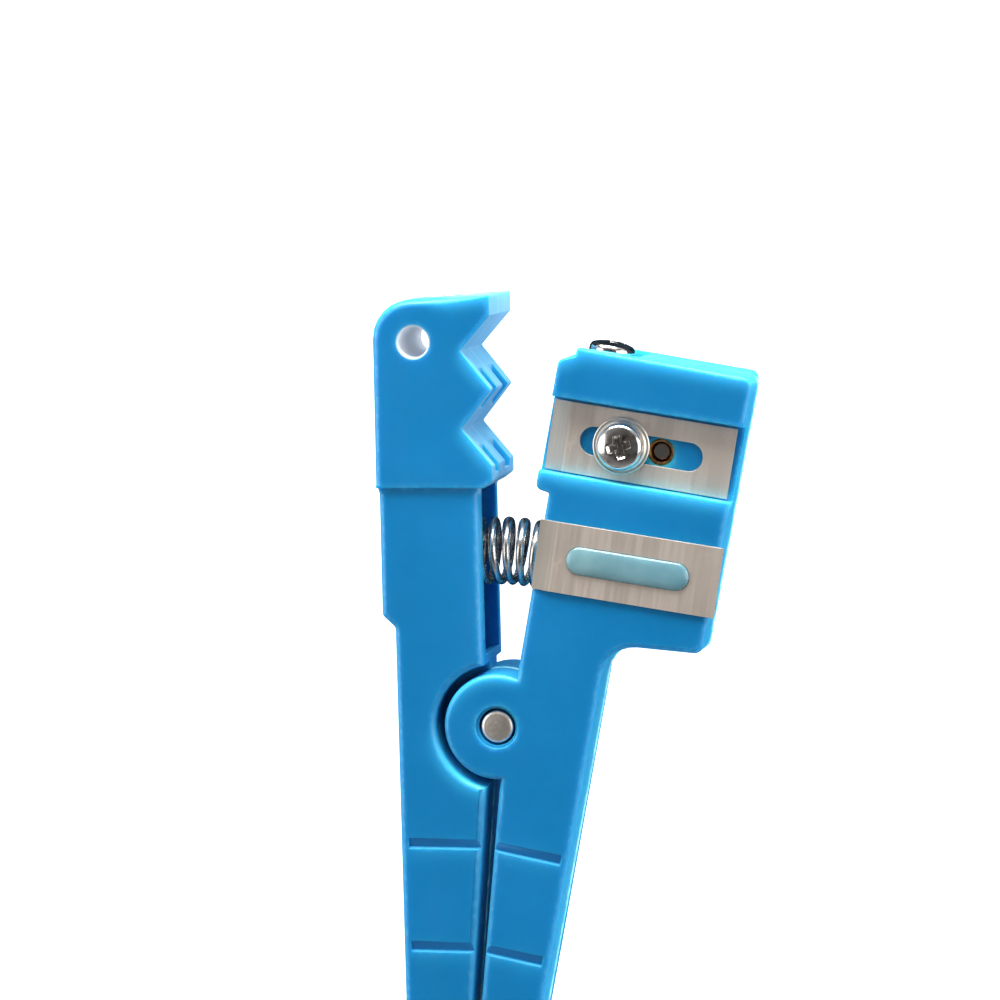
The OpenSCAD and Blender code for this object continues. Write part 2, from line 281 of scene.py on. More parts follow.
def resin(name):
    t = Tree(name)
    col = t.ramp(t.noise(260, 3, 0.5), [(0.3, (0.14, 0.30, 0.35)), (0.7, (0.24, 0.43, 0.47))])
    end = t.ramp(t.noise(60, 1, 0.4, (1, 0.2, 0.2)), [(0.4, 0.0), (0.7, 1.0)])
    col = t.mix(t.math("MULTIPLY", end, 0.35), col, (0.10, 0.36, 0.55))
    r = t.math("ADD", t.math("MULTIPLY", t.noise(800, 3, 0.6), 0.12), 0.10)
    t.link(t.bump(t.noise(420, 2, 0.5), 0.3, 0.05 * MM), t.bsdf.inputs["Normal"])
    t.bsdf.inputs["Subsurface Radius"].default_value = (0.5, 0.9, 1.0)
    t.bsdf.inputs["Subsurface Scale"].default_value = 1.2 * MM
    return t.set(Base_Color=col, Roughness=r, Subsurface_Weight=0.4, Transmission_Weight=0.15,
                 Coat_Weight=0.6, Coat_Roughness=0.06, IOR=1.45)


def floor_paper(name):
    t = Tree(name)
    col = t.ramp(t.noise(14, 3, 0.5), [(0.3, (0.86, 0.86, 0.86)), (0.7, (0.90, 0.90, 0.90))])
    t.link(t.bump(t.noise(1500, 3, 0.6), 0.08, 0.02 * MM), t.bsdf.inputs["Normal"])
    r = t.math("ADD", t.math("MULTIPLY", t.noise(60, 2, 0.5), 0.1), 0.75)
    return t.set(Base_Color=col, Roughness=r, Emission_Color=col, Emission_Strength=1.45)


BLUE = blue_plastic("blue_moulded", (0.003, 0.190, 0.43), (0.006, 0.220, 0.50), 0.34, 0.25, 0.75)
# Painted shade and painted highlight: a darker copy of the blue for the grip grooves' long slopes, which
# face away from the light, and a lighter copy for their steep lips, which face it
GROOVE_SHADE = blue_plastic("blue_groove_painted_shade", (0.003, 0.150, 0.40), (0.005, 0.175, 0.45), 0.40, 0.3, 0.6, 0.2)
GROOVE_HIGHLIGHT = blue_plastic("blue_groove_painted_highlight", (0.02, 0.29, 0.56), (0.03, 0.34, 0.62), 0.36, 0.3, 0.6, 0.2)
# Painted light: a paler blue on the tooth flanks and the hole's chamfer ring, standing in for the light
# these side faces catch; their grain and matte finish are their own
SIDES_PAINTED_LIGHT = blue_plastic("blue_sides_painted_light", (0.14, 0.36, 0.56), (0.25, 0.46, 0.64), 0.66, 1.0, 0.30, 0.35,
                   grit=0.35)
# Painted light: a copy of the blue, lighter and with less glow, for the channel and knuckle walls, tuned to
# how bright these recesses look
INSIDE_PAINTED_LIGHT = blue_plastic("blue_inside_painted_light", (0.003, 0.23, 0.54), (0.005, 0.27, 0.60), 0.55, 0.5, 0.4, 0.15)
# Painted light: the hole's wall is pale grey and glows faintly, standing in for the light that comes
# through the hole from below
HOLE_WALL_PAINTED_LIGHT = blue_plastic("hole_wall_painted_light", (0.66, 0.70, 0.76), (0.80, 0.83, 0.87), 0.55, 0.6, 0.3, 0.10,
                    (0.35, 0.62, 0.85), 0.09)
BLADE = steel("blade_ground", (0.78, 0.68, 0.60), (0.86, 0.765, 0.68), 0.52, shade=220)
BEVEL = steel("blade_bevel", (0.48, 0.47, 0.44), (0.57, 0.555, 0.52), 0.50, pitch=2600)
# Painted shade: a darker copy of the bevel steel for the spare blade, whose bevel shows darker than the
# others
SPARE_BEVEL_SHADE = steel("blade_bevel_painted_shade", (0.38, 0.345, 0.30), (0.52, 0.475, 0.42), 0.54, pitch=900)
WASHER = steel("washer_satin", (0.66, 0.61, 0.53), (0.84, 0.79, 0.71), 0.42, (1, 1, 1), 700)
CHROME = chrome("screw_plating", (0.86, 0.85, 0.83), (0.50, 0.46, 0.43), 0.12)
WIRE = chrome("spring_wire", (0.82, 0.78, 0.73), (0.36, 0.32, 0.29), 0.24, 420)
PIN = turned("pin_turned", (0.82, 0.73, 0.65), (1.0, 0.93, 0.85))
# The brass is kept dark, as painted shade for the bore the inserts line
BRASS = steel("brass_machined", (0.20, 0.10, 0.04), (0.60, 0.34, 0.14), 0.34, (1, 1, 0.1), 900)
PLUG = resin("plug_resin")


# ---------------------------------------------------------------- mesh helpers

def add(name, mesh, mats, matrix=None):
    o = bpy.data.objects.new(name, mesh)
    bpy.context.scene.collection.objects.link(o)
    for m in mats:
        mesh.materials.append(m)
    if matrix:
        o.matrix_world = matrix
    return o


def settle(o):
    """Applies the object's modifiers."""
    bpy.context.view_layer.update()
    dg = bpy.context.evaluated_depsgraph_get()
    me = bpy.data.meshes.new_from_object(o.evaluated_get(dg), preserve_all_data_layers=True,
                                         depsgraph=dg)
    o.modifiers.clear()
    o.data = me
    return o


def smooth(me, angle=35):
    me.shade_smooth()
    me.set_sharp_from_angle(angle=math.radians(angle))


def hand_over(o, node, body):
    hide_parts(node)
    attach(o, body)
    return o


def lathe(name, profile, steps, mats, matrix):
    """A turned piece: profile is (radius, height) in mm along its own Z."""
    bm = bmesh.new()
    rings = []
    for r, z in profile:
        if r < 1e-6:
            rings.append([bm.verts.new(Vector((0, 0, z)) * MM)])
        else:
            rings.append([bm.verts.new(Vector((r * math.cos(2 * math.pi * i / steps),
                                               r * math.sin(2 * math.pi * i / steps), z)) * MM)
                          for i in range(steps)])
    closed = profile[0] == profile[-1]
    if closed:
        rings[-1] = rings[0]
    for a, b in zip(rings, rings[1:]):
        for i in range(steps):
            j = (i + 1) % steps
            if len(a) == 1:
                bm.faces.new((a[0], b[j], b[i]))
            elif len(b) == 1:
                bm.faces.new((a[i], a[j], b[0]))
            else:
                bm.faces.new((a[i], a[j], b[j], b[i]))
    bmesh.ops.recalc_face_normals(bm, faces=bm.faces)
    me = bpy.data.meshes.new(name)
    bm.to_mesh(me)
    bm.free()
    o = add(name, me, mats, matrix)
    smooth(me, 32)
    return o


def cad_copy(node, matrix):
    """A welded copy of a CAD node's mesh with its flat faces joined up, in the given frame."""
    me = frame["nodes"][node].data.copy()
    bm = bmesh.new()
    bm.from_mesh(me)
    bmesh.ops.remove_doubles(bm, verts=bm.verts, dist=1e-7)
    bmesh.ops.transform(bm, matrix=matrix.inverted(), verts=bm.verts)
    bmesh.ops.dissolve_limit(bm, angle_limit=math.radians(1.0), verts=bm.verts, edges=bm.edges)
    bpy.data.meshes.remove(me)
    return bm


# ---------------------------------------------------------------- the two moulded arms

ROUND = [math.radians(v) for v in (0, 30, 60, 90)]


def flatten_grooves(bm):
    """Fills the grip grooves back up, so that they can be cut again after the rims are rounded."""
    mid = MID / MM
    for v in bm.verts:
        depth = v.co.z / MM - mid
        if v.co.y / MM < GRIP_TOP and ARM_FACE - 0.5 < abs(depth) < ARM_FACE - 0.05:
            v.co.z = (mid + math.copysign(ARM_FACE, depth)) * MM
    bmesh.ops.remove_doubles(bm, verts=bm.verts, dist=1e-7)
    bmesh.ops.dissolve_limit(bm, angle_limit=math.radians(1.0), verts=bm.verts, edges=bm.edges)


def round_rim(bm, faces, width):
    """Rounds the edge between flat faces and their walls to width(x, y) in mm.

    Three tiny insets make the rings, and each ring's corners are then moved out onto the arc. A
    corner's ring is told by how far it has moved from the nearest corner of the original edge.
    """
    side = math.copysign(1, faces[0].normal.z)
    region = set(faces)
    reach = {}
    for f in faces:
        for e in f.edges:
            if all(g in region for g in e.link_faces):
                continue
            for v in e.verts:
                w = width(v.co.x / MM, v.co.y / MM) if e.is_convex else 0.0
                reach[v] = min(w, reach.get(v, 9))
    base = [(v.co.copy(), w) for v, w in reach.items()]

    def nearest(co):
        return min(range(len(base)), key=lambda i: (base[i][0] - co).length_squared)

    tiny = 0.01 * MM
    rim, ways = [], {}
    for _ in ROUND[1:]:
        res = bmesh.ops.inset_region(bm, faces=faces, thickness=tiny,
                                     use_even_offset=True, use_boundary=True)
        rim += res["faces"]
        if ways:
            continue
        for e in {e for f in rim for e in f.edges}:
            u, v = e.verts
            in_u, in_v = (any(g in region for g in w.link_faces) for w in (u, v))
            if in_u != in_v:
                hub, lip = (u, v) if in_u else (v, u)
                ways[nearest(lip.co)] = (hub.co - lip.co) / tiny
    for v in {v for f in rim for v in f.verts}:
        i = nearest(v.co)
        if i not in ways:
            continue
        co, w = base[i]
        way = ways[i]
        ring = round((v.co - co).dot(way) / way.length_squared / tiny)
        angle = ROUND[max(0, min(3, ring))]
        drop = w * (1 - math.sin(angle))
        run = max(w, 0.02) * (1 - math.cos(angle)) * min(1, 1.5 / way.length)
        v.co = co + (way * run - UP * side * drop) * MM


def moulded(node, matrix, parting_skip, width, lines=(), shape=None, grooves=None):
    """A moulded arm from its CAD mesh: a raised parting line, rounded rims, draft and grip grooves."""
    bm = cad_copy(node, matrix)
    flatten_grooves(bm)
    levels = [((0, 0, PARTING + d), UP) for d in (-0.15, -0.05, 0.05, 0.15)]
    for co, no in levels + list(lines):
        bmesh.ops.bisect_plane(bm, geom=bm.verts[:] + bm.edges[:] + bm.faces[:], dist=1e-8,
                               plane_co=Vector(co) * MM, plane_no=Vector(no))
    bm.normal_update()
    ridge = []
    for v in bm.verts:
        x, y, z = v.co / MM
        if abs(abs(z - PARTING) - 0.05) > 0.01 or parting_skip(x, y):
            continue
        n = Vector((0, 0, 0))
        for f in v.link_faces:
            if abs(f.normal.z) < 0.3:
                n += f.normal
        if n.length > 0.1:
            ridge.append((v, n.normalized()))
    for v, n in ridge:
        v.co += n * 0.16 * MM
    bm.normal_update()
    for top in (1, -1):
        for level in (ARM_FACE, BLOCK_FACE):
            cap = [f for f in bm.faces if f.normal.z * top > 0.99
                   and abs((f.calc_center_median().z - MID) / MM * top - level) < 0.05]
            if cap:
                round_rim(bm, cap, width)
                bm.normal_update()
    if shape:
        for v in bm.verts:
            v.co = shape(v.co / MM) * MM
    bmesh.ops.remove_doubles(bm, verts=bm.verts, dist=2e-7)
    me = bpy.data.meshes.new(node)
    bm.to_mesh(me)
    bm.free()
    o = add(node + "_visual", me, [BLUE, SIDES_PAINTED_LIGHT, INSIDE_PAINTED_LIGHT, HOLE_WALL_PAINTED_LIGHT, GROOVE_SHADE, GROOVE_HIGHLIGHT], matrix)
    if grooves:
        tool = groove_cutter(*grooves)
        tool.matrix_world = matrix
        mod = o.modifiers.new("grooves", "BOOLEAN")
        mod.object = tool
        mod.operation = "DIFFERENCE"
        mod.solver = "EXACT"
        mod.use_self = True
        mod.use_hole_tolerant = True
        settle(o)
        bpy.data.objects.remove(tool)
    sharpen(o.data)
    mod = o.modifiers.new("normals", "WEIGHTED_NORMAL")
    mod.keep_sharp = True
    mod.weight = 80
    return settle(o)


def sharpen(me):
    """Smooth shading, but for true corners and the borders of the grip grooves."""
    bm = bmesh.new()
    bm.from_mesh(me)
    for f in bm.faces:
        f.smooth = True
    for e in bm.edges:
        if len(e.link_faces) != 2:
            e.smooth = False
            continue
        a, b = e.link_faces
        turn = math.degrees(e.calc_face_angle(0))
        low = e.verts[0].co.y / MM < GRIP_TOP
        across = abs((e.verts[0].co - e.verts[1].co).normalized().x) > 0.9
        groove = low and across and turn > 9 and min(abs(a.normal.z), abs(b.normal.z)) > 0.5
        e.smooth = not (turn > 38 or groove)
    bm.to_mesh(me)
    bm.free()


def groove_cutter(x0, x1):
    """Five saw-tooth grooves on each face, between x0 and x1."""
    bm = bmesh.new()
    mid = MID / MM
    section = ((1.15, 0.6), (1.15, 0.02), (1.02, -0.02), (0.05, -0.34), (-0.04, -0.33), (-0.22, -0.04),
               (-0.26, 0.02), (-0.26, 0.6))
    for k in range(5):
        for side in (1, -1):
            ends = []
            for x in (x0, x1):
                y = GROOVE_Y - GROOVE_PITCH * k
                ends.append([bm.verts.new(Vector((x, y + dy, mid + side * (ARM_FACE + dz))) * MM)
                             for dy, dz in section])
            n = len(section)
            for i in range(n):
                j = (i + 1) % n
                bm.faces.new((ends[0][i], ends[0][j], ends[1][j], ends[1][i]))
            bm.faces.new(ends[0])
            bm.faces.new(ends[1][::-1])
    bmesh.ops.recalc_face_normals(bm, faces=bm.faces)
    me = bpy.data.meshes.new("grooves")
    bm.to_mesh(me)
    bm.free()
    return add("groove_tool", me, [])


def from_hole(x, y):
    return math.hypot(x - HOLE_X, y - HOLE_Y)


def jaw_skip(x, y):
    """Where the jaw arm's walls have no parting line."""
    channel = -8.3 < x < -0.8 and 8.0 < y < 29.6
    teeth = x > -4.2 and y > 29
    return channel or teeth or from_hole(x, y) < 3 or math.hypot(x, y) < 3


def blade_skip(x, y):
    """Where the blade arm's walls have no parting line."""
    pocket = x < 7.3 and 16.8 < y < 26.8
    inserts = 6 < x < 17 and 34 < y < 39.5
    top = y > 40.5 and x < 22.8
    return pocket or inserts or top or math.hypot(x, y) < 3


def drafted_side(p):
    """The outer side leans in from the parting line, and the pin's hole is eased at the faces."""
    x, y, z = p
    fall = 0.12 - (0.02 if z > PARTING else 0.09) * abs(z - PARTING)
    if x > 19.5 and y > 13.5:
        x += min(1, (x - 19.5) / 3.5) * fall
    elif x > 9.8 and y < 13.5:
        x += min(1, x - 9.8) * fall
    if math.hypot(x, y) < 2.2 and abs(z - MID / MM) > 5:
        x, y = x * 1.13, y * 1.13
    return Vector((x, y, z))


def jaw_width(x, y):
    """How wide the rounding of the jaw arm's rims is."""
    if from_hole(x, y) < 3:
        return 0.28
    if x > -5 and y > 29:
        return 0.14 if x > -0.4 or y < 51 else 0.7
    if math.hypot(x, y) < 3:
        return 0.1
    if 29.2 < y < 29.8:
        return 0.2
    return 0.95 if y > 45 else 0.8


def blade_width(x, y):
    """How wide the rounding of the blade arm's rims is."""
    from_seat = abs(y - (x * SEAT_SLOPE + SEAT_MID))
    if abs(from_seat - SEAT_HALF) < 0.3:
        return 0.14
    if math.hypot(x, y) < 3.2:
        return 0.12
    if x < 3 and y > 28:
        return 0.3
    if y > 45.5 and x < 24:
        return 0.6 if x > 3 else 0.25
    return 0.7


# Extra cuts that keep a change of rim width short
beside_block = [((-5.2, 0, 0), (1, 0, 0)), ((0, 30.5, 0), (0, 1, 0)), ((0, 28.7, 0), (0, 1, 0))]
lips = [((0, SEAT_MID + d, 0), (-SEAT_SLOPE, 1, 0)) for d in (5.3, -5.3)]
jaw = moulded("jaw_arm", JAW, jaw_skip, jaw_width, beside_block, grooves=(-11.35, 2.0))
blade_arm = moulded("blade_arm", ARM, blade_skip, blade_width, lips, drafted_side, grooves=(-2.0, 10.75))


# The slots of the arms' materials; all but PLAIN are painted light and shade copies of the blue
PLAIN, TOOTH, INSIDE, WALL, SLOPE, LIP_EDGE = range(6)


def finish_faces(o, test):
    for p in o.data.polygons:
        c = p.center / MM
        p.material_index = test(c, p.normal)
        sunk = 5.8 < abs(c.z - MID / MM) < ARM_FACE - 0.005
        # Grip grooves: the slopes get the painted-shade blue, the lips the painted-highlight blue
        if c.y < GRIP_TOP - 1 and abs(p.normal.y) > 0.2 and sunk:
            p.material_index = SLOPE if abs(p.normal.z) > 0.9 else LIP_EDGE


def knuckle_top(c, n, reach):
    return math.hypot(c.x, c.y) < reach and abs(n.z) < 0.5


def jaw_face(c, n):
    hole = from_hole(c.x, c.y)
    if abs(n.z) < 0.5 and c.y > 28.5 and c.x > -4.2:
        return TOOTH
    if abs(n.z) < 0.9 and hole < 2.6:
        return WALL
    # The hole's chamfer ring takes the paler side blue as a painted highlight
    if abs(n.z) < 0.98 and 1.8 < hole < 2.4:
        return TOOTH
    if knuckle_top(c, n, 7.2) and c.y > 4.5:
        return INSIDE
    if -8.1 < c.x < -0.9 and 7 < c.y < 29.6 and abs(c.z - 7) < 4.6:
        return INSIDE
    return PLAIN


def arm_face(c, n):
    if knuckle_top(c, n, 7.8):
        return INSIDE
    if 1.4 < c.x < 7.3 and 17 < c.y < 26.6 and abs(c.z - 7) < 4.6:
        return INSIDE
    return PLAIN


finish_faces(jaw, jaw_face)
finish_faces(blade_arm, arm_face)
# Its mesh takes the arm's angle over, so that its box is as tight as the CAD's
blade_arm.data.transform(JAW.inverted() @ ARM)
blade_arm.matrix_world = JAW
hand_over(jaw, "jaw_arm", "jaw_body")
hand_over(blade_arm, "blade_arm", "blade_body")


# ---------------------------------------------------------------- blades

GRIND = 2.15                    # how far the ground bevel reaches from a blade's edge


def blade_piece(node, body, matrix, bevel=BEVEL):
    bm = cad_copy(node, matrix)
    me = bpy.data.meshes.new(node)
    bm.to_mesh(me)
    bm.free()
    o = add(node + "_visual", me, [BLADE, bevel], matrix)
    me.shade_smooth()
    me.set_sharp_from_angle(angle=math.radians(8))
    mod = o.modifiers.new("edges", "BEVEL")
    mod.limit_method = "ANGLE"
    mod.angle_limit = math.radians(40)
    mod.width = 0.035 * MM
    mod.segments = 2
    mod.harden_normals = True
    settle(o)
    for p in o.data.polygons:
        p.material_index = 1 if p.center.x / MM < GRIND and p.normal.z > 0.7 else 0
    return hand_over(o, node, body)


screw_f = Vector(JOINTS["front_screw_turn"]["pos_m"])
screw_b = Vector(JOINTS["back_screw_turn"]["pos_m"])
screw_t = Vector(JOINTS["top_screw_turn"]["pos_m"])
SEAT_Y = UP.cross(SEAT_X)
ARM_Y = UP.cross(ARM_X)
FRONT_SEAT = place(SEAT_X, SEAT_Y, UP, screw_f)
BACK_SEAT = place(SEAT_X, -SEAT_Y, -UP, screw_b)
TOP_SEAT = place(ARM_X, -UP, ARM_Y, screw_t)


def shifted(m, x):
    return m @ Matrix.Translation(Vector((x, 0, 0)) * MM)


# The blades' own frames, from the middle of their cutting edges
FRONT_BLADE = shifted(FRONT_SEAT, -8.95)
BACK_BLADE = shifted(BACK_SEAT, -13.8)
TOP_BLADE = shifted(TOP_SEAT, -4.4)
SPARE_X = Matrix.Rotation(SPARE_TILT, 3, "Z") @ ARM_X
SPARE = flat(SPARE_X, at(ARM, 1.05, 22.15, 13.5))

blade_piece("front_blade", "front_blade_body", FRONT_BLADE)
blade_piece("back_blade", "back_blade_body", BACK_BLADE)
blade_piece("slitting_blade", "slitting_blade_body", TOP_BLADE)
blade_piece("spare_blade", "blade_body", SPARE, SPARE_BEVEL_SHADE)


# ---------------------------------------------------------------- fasteners

HEAD_R, HEAD_H, SEAT_H = 2.85, 2.0, 0.9


def head_profile():
    pts = [(0.0, SEAT_H), (HEAD_R - 0.12, SEAT_H), (HEAD_R, SEAT_H + 0.1), (HEAD_R, SEAT_H + 0.75)]
    for i in range(1, 9):
        a = math.radians(i * 10)
        pts.append((HEAD_R - 0.62 + 0.62 * math.cos(a), SEAT_H + 0.75 + 0.85 * math.sin(a)))
    pts += [(1.7, SEAT_H + HEAD_H - 0.22), (0.9, SEAT_H + HEAD_H - 0.05), (0.0, SEAT_H + HEAD_H)]
    return pts


def cross_cutter():
    """A tapered four-armed recess."""
    bm = bmesh.new()
    rings = []
    for z, reach, half in ((0.4, 1.75, 0.50), (0.0, 1.62, 0.46), (-0.75, 1.05, 0.36), (-1.35, 0.5, 0.26),
                           (-1.55, 0.28, 0.2)):
        ring = []
        for k in range(4):
            a = math.radians(90 * k)
            for u, v in ((reach, -half), (reach, half), (half * 1.25, half * 1.25)):
                ring.append(bm.verts.new(Vector((u * math.cos(a) - v * math.sin(a),
                                                 u * math.sin(a) + v * math.cos(a),
                                                 SEAT_H + HEAD_H + z)) * MM))
        rings.append(ring)
    for a, b in zip(rings, rings[1:]):
        for i in range(12):
            j = (i + 1) % 12
            bm.faces.new((a[i], b[i], b[j], a[j]))
    bm.faces.new(rings[0])
    bm.faces.new(rings[-1][::-1])
    bmesh.ops.recalc_face_normals(bm, faces=bm.faces)
    me = bpy.data.meshes.new("cutter")
    bm.to_mesh(me)
    bm.free()
    return add("cutter", me, [])


def shank(length, top):
    """A threaded shank as one closed skin."""
    bm = bmesh.new()
    pitch, steps, per = 0.5, 28, 8
    rows = int((length - 0.55) / pitch * per)
    rings = []
    for j in range(rows + 1):
        z = -j * pitch / per
        ring = []
        for i in range(steps):
            a = 2 * math.pi * i / steps
            phase = (i / steps + j / per) % 1
            depth = abs(phase * 2 - 1)
            r = 1.0 + 0.19 * depth
            ring.append(bm.verts.new(Vector((r * math.cos(a), r * math.sin(a), z)) * MM))
        rings.append(ring)
    tip = -length
    lead, taper = ([bm.verts.new(Vector((rad * math.cos(2 * math.pi * i / steps),
                                         rad * math.sin(2 * math.pi * i / steps), z)) * MM)
                    for i in range(steps)] for rad, z in ((0.90, tip), (1.03, tip + 0.14)))
    neck = [bm.verts.new(Vector((1.15 * math.cos(2 * math.pi * i / steps),
                                 1.15 * math.sin(2 * math.pi * i / steps), top)) * MM)
            for i in range(steps)]
    rings = [neck] + rings + [taper, lead]
    for a, b in zip(rings, rings[1:]):
        for i in range(steps):
            j = (i + 1) % steps
            bm.faces.new((a[i], b[i], b[j], a[j]))
    bm.faces.new(neck)
    bm.faces.new(lead[::-1])
    bmesh.ops.recalc_face_normals(bm, faces=bm.faces)
    return bm


def screw(node, body, matrix, length, turn):
    o = lathe(node + "_visual", head_profile(), 72, [CHROME], matrix)
    cutter = cross_cutter()
    cutter.matrix_world = matrix @ Matrix.Rotation(math.radians(turn), 4, "Z")
    mod = o.modifiers.new("recess", "BOOLEAN")
    mod.object = cutter
    mod.solver = "EXACT"
    bev = o.modifiers.new("edges", "BEVEL")
    bev.limit_method = "ANGLE"
    bev.angle_limit = math.radians(38)
    bev.width = 0.05 * MM
    bev.segments = 2
    settle(o)
    bpy.data.objects.remove(cutter)
    bm = bmesh.new()
    bm.from_mesh(o.data)
    rod = shank(length, SEAT_H + 0.05)
    extra = bpy.data.meshes.new("rod")
    rod.to_mesh(extra)
    rod.free()
    bm.from_mesh(extra)
    bm.to_mesh(o.data)
    bm.free()
    bpy.data.meshes.remove(extra)
    smooth(o.data, 32)
    return hand_over(o, node, body)


def washer(node, body, matrix):
    z = 0.4
    prof = [(1.58, z), (3.38, z), (3.46, z + 0.05), (3.5, z + 0.14), (3.48, z + 0.24), (3.36, z + 0.31),
            (3.1, z + 0.30), (2.98, z + 0.42), (2.88, z + 0.50), (1.66, z + 0.50), (1.58, z + 0.42),
            (1.58, z)]
    o = lathe(node + "_visual", prof, 80, [WASHER], matrix)
    return hand_over(o, node, body)


def insert(node, matrix, length):
    r, bore = 1.65, 1.25
    prof = [(r - 0.1, -0.04), (r - 0.03, -0.07), (r, -0.14), (r, -length + 0.12), (r - 0.12, -length),
            (bore + 0.2, -length), (bore, -length + 0.3), (bore, -0.35), (r - 0.2, -0.06),
            (r - 0.1, -0.04)]
    o = lathe(node + "_visual", prof, 64, [BRASS], matrix)
    return hand_over(o, node, "blade_body")


screw("front_clamp_screw", "front_screw_body", FRONT_SEAT, 7.0, 24)
screw("back_clamp_screw", "back_screw_body", BACK_SEAT, 7.0, 40)
screw("top_clamp_screw", "top_screw_body", TOP_SEAT, 4.6, 10)
washer("front_washer", "front_screw_body", FRONT_SEAT)
washer("back_washer", "back_screw_body", BACK_SEAT)
washer("top_washer", "top_screw_body", TOP_SEAT)
insert("front_insert", FRONT_SEAT, 7.8)
insert("back_insert", BACK_SEAT, 7.8)
insert("top_insert", TOP_SEAT, 5.0)


# ---------------------------------------------------------------- pin

def pin():
    lo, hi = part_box("pivot_pin")
    h = (hi[2] - lo[2]) / MM / 2
    end = [(1.55, h - 0.005), (1.62, h - 0.02), (1.86, h - 0.07), (1.95, h - 0.15), (2.0, h - 0.3)]
    prof = [(0.0, -h)] + [(r, -z) for r, z in end] + [(2.0, 0.0)] + end[::-1] + [(0.0, h)]
    o = lathe("pivot_pin_visual", prof, 72, [PIN], flat(Vector((1, 0, 0)), PIVOT))
    return hand_over(o, "pivot_pin", "jaw_body")


pin()


# ---------------------------------------------------------------- spring

def spring():
    """The wire follows the CAD coil: straight, round the pivot, straight into the blade arm."""
    angle = math.degrees(math.atan2(-ARM_X.y, ARM_X.x))
    coil_y, wire, outside, turns = 21.1, 1.1, 8.5, 11
    seat_in, seat_out = 7.35, 6.35
    bend = coil_y * math.radians(angle)
    total = seat_in + bend + seat_out
    centre_r = (outside - wire) / 2
    dead, step = 0.75, 1.05 * wire

    def along(t):
        if t < dead:
            return t * step
        if t > turns - dead:
            return total - (turns - t) * step
        return dead * step + (t - dead) * (total - 2 * dead * step) / (turns - 2 * dead)

    def axis(s, out, up):
        a = math.radians(angle) * min(1, max(0, (s - seat_in) / bend))
        rest = s - seat_in if s < seat_in else max(0, s - seat_in - bend)
        reach = coil_y + out
        return at(JAW, rest * math.cos(a) + reach * math.sin(a), reach * math.cos(a) - rest * math.sin(a),
                  MID / MM + up)

    per, sides = 56, 14
    bm = bmesh.new()
    rings = []
    for i in range(turns * per + 1):
        t = i / per
        a = 2 * math.pi * t
        ends = min(i, turns * per - i)
        thick = wire / 2 * (0.86 if ends == 0 else 1)
        ring = []
        for k in range(sides):
            b = 2 * math.pi * k / sides
            r = centre_r + thick * math.cos(b)
            ring.append(bm.verts.new(axis(along(t) + thick * math.sin(b),
                                          r * math.cos(a), r * math.sin(a))))
        rings.append(ring)
    for a, b in zip(rings, rings[1:]):
        for k in range(sides):
            m = (k + 1) % sides
            bm.faces.new((a[k], b[k], b[m], a[m]))
    bm.faces.new(rings[0])
    bm.faces.new(rings[-1][::-1])
    bmesh.ops.recalc_face_normals(bm, faces=bm.faces)
    me = bpy.data.meshes.new("spring")
    bm.to_mesh(me)
    bm.free()
    o = add("return_spring_visual", me, [WIRE])
    smooth(me, 50)
    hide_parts("return_spring")
    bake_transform(o)


spring()


# ---------------------------------------------------------------- plug

def plug():
    """A round-ended plug with a domed top; its profile is (inset, height)."""
    start, length, width = 3.85, 15.1, 3.4
    half = 24                   # corners in each round end
    bm = bmesh.new()
    rings = []
    profile = [(0.0, 0.0), (0.0, 0.52), (0.03, 0.6), (0.10, 0.68), (0.24, 0.76), (0.45, 0.84), (0.8, 0.91),
               (1.25, 0.94), (1.62, 0.95)]
    for inset, z in profile:
        w = width / 2 - inset
        run = length / 2 - width / 2
        ring = []
        for k in range(2 * half):
            right = k < half
            a = math.pi * (k % half) / (half - 1) - math.pi / 2 + (0 if right else math.pi)
            cx = start + length / 2 + (run if right else -run)
            ring.append(bm.verts.new(Vector((cx + w * math.cos(a), w * math.sin(a), z)) * MM))
        rings.append(ring)
    for a, b in zip(rings, rings[1:]):
        for i in range(2 * half):
            j = (i + 1) % (2 * half)
            bm.faces.new((a[i], a[j], b[j], b[i]))
    bm.faces.new(rings[-1])
    bm.faces.new(rings[0][::-1])
    bmesh.ops.recalc_face_normals(bm, faces=bm.faces)
    me = bpy.data.meshes.new("plug")
    bm.to_mesh(me)
    bm.free()
    o = add("spare_blade_plug_visual", me, [PLUG], SPARE)
    smooth(me, 40)
    return hand_over(o, "spare_blade_plug", "blade_body")


plug()


# ---------------------------------------------------------------- stage, light and camera

def floor():
    me = bpy.data.meshes.new("floor")
    s = 1.5
    me.from_pydata([(-s, -s, 0), (s, -s, 0), (s, s, 0), (-s, s, 0)], [], [(0, 1, 2, 3)])
    o = add("floor", me, [floor_paper("floor_paper")])
    o.location.z = -0.0001
    o.visible_glossy = False


def area(name, place_mm, size, power):
    data = bpy.data.lights.new(name, "AREA")
    data.shape = "RECTANGLE"
    data.size, data.size_y = size
    data.energy = power
    o = bpy.data.objects.new(name, data)
    bpy.context.scene.collection.objects.link(o)
    where = at(JAW, *place_mm)
    o.location = where
    o.rotation_euler = (where - at(JAW, 2, 10, 7)).to_track_quat("Z", "Y").to_euler()


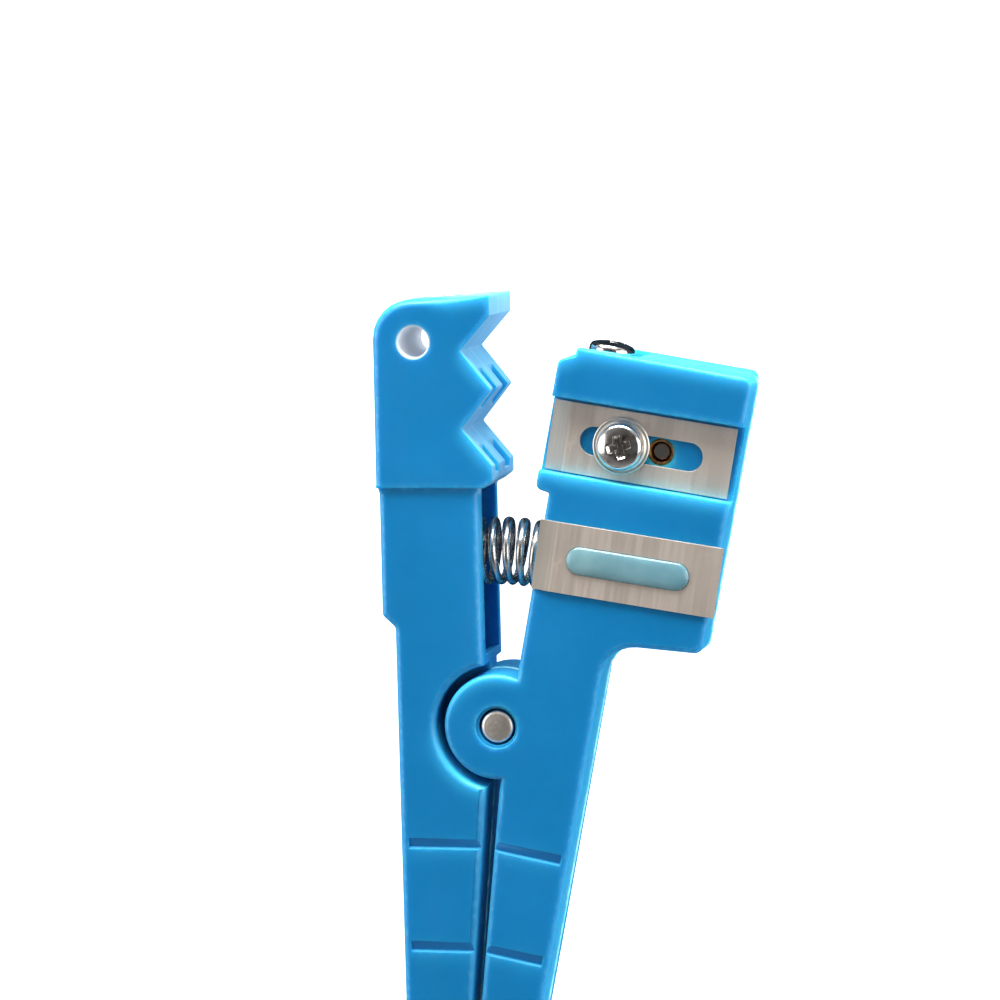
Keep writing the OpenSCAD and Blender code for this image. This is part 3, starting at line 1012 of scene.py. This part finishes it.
def world():
    w = bpy.data.worlds.new("studio")
    bpy.context.scene.world = w
    w.use_nodes = True
    nt = w.node_tree
    bg = nt.nodes["Background"]
    tc = nt.nodes.new("ShaderNodeTexCoord")
    split = nt.nodes.new("ShaderNodeSeparateXYZ")
    nt.links.new(tc.outputs["Generated"], split.inputs[0])

    def ramp(value, stops):
        node = nt.nodes.new("ShaderNodeValToRGB")
        els = node.color_ramp.elements
        while len(els) < len(stops):
            els.new(0.5)
        for e, (pos, col) in zip(els, stops):
            e.position, e.color = pos, (*col, 1)
        nt.links.new(value, node.inputs["Fac"])
        return node.outputs["Color"]

    def times(a, b):
        node = nt.nodes.new("ShaderNodeMix")
        node.data_type, node.blend_type = "RGBA", "MULTIPLY"
        node.inputs["Factor"].default_value = 1
        nt.links.new(a, node.inputs["A"])
        nt.links.new(b, node.inputs["B"])
        return [o for o in node.outputs if o.type == "RGBA"][0]

    noise = nt.nodes.new("ShaderNodeTexNoise")
    noise.inputs["Scale"].default_value = 2.3
    noise.inputs["Detail"].default_value = 2
    nt.links.new(tc.outputs["Generated"], noise.inputs["Vector"])
    rise = nt.nodes.new("ShaderNodeMath")
    rise.operation = "MULTIPLY_ADD"
    nt.links.new(split.outputs["Z"], rise.inputs[0])
    rise.inputs[1].default_value = 0.5
    rise.inputs[2].default_value = 0.5
    # Bright walls between a dark ground and a dark ceiling
    height = ramp(rise.outputs[0], [(0.0, (0.03, 0.06, 0.09)), (0.49, (0.10, 0.13, 0.16)),
                                    (0.52, (1, 1, 1)), (0.81, (1, 1, 1)),
                                    (0.93, (0.14, 0.135, 0.13)), (1.0, (0.11, 0.105, 0.10))])
    lift = nt.nodes.new("ShaderNodeMath")
    lift.operation = "MULTIPLY_ADD"
    nt.links.new(split.outputs["Y"], lift.inputs[0])
    lift.inputs[1].default_value = 0.5
    lift.inputs[2].default_value = 0.5
    sweep = ramp(lift.outputs[0], [(0.1, (0.45, 0.45, 0.45)), (0.9, (1, 1, 1))])
    patch = ramp(noise.outputs["Fac"], [(0.42, (0.30, 0.25, 0.22)), (0.52, (1, 1, 1))])
    nt.links.new(times(times(height, sweep), patch), bg.inputs["Color"])
    bg.inputs["Strength"].default_value = 0.9


def camera():
    right, up, roll = (math.radians(v) for v in (10.9, 6.2, 1.213))
    ex = Vector((math.cos(roll), -math.sin(roll), 0))
    ey = Vector((math.sin(roll), math.cos(roll), 0))
    back = (ex * math.tan(right) + ey * math.tan(up) + UP).normalized()
    top = (ey - back * ey.dot(back)).normalized()
    data = bpy.data.cameras.new("camera")
    data.sensor_width = 36
    data.lens = 114.48
    o = bpy.data.objects.new("camera", data)
    bpy.context.scene.collection.objects.link(o)
    o.matrix_world = place(top.cross(back), top, back, at(JAW, 0.464, 27.748, 10.509) + back * 390 * MM)
    bpy.context.scene.camera = o


floor()
area("key_top", (-40, 520, 190), (0.55, 0.22), 6.0)
area("fill_left", (-380, 60, 220), (0.3, 0.4), 0.8)
area("fill_right", (400, 40, 220), (0.3, 0.45), 1.2)
world()
camera()
bpy.context.scene.view_settings.view_transform = "Standard"
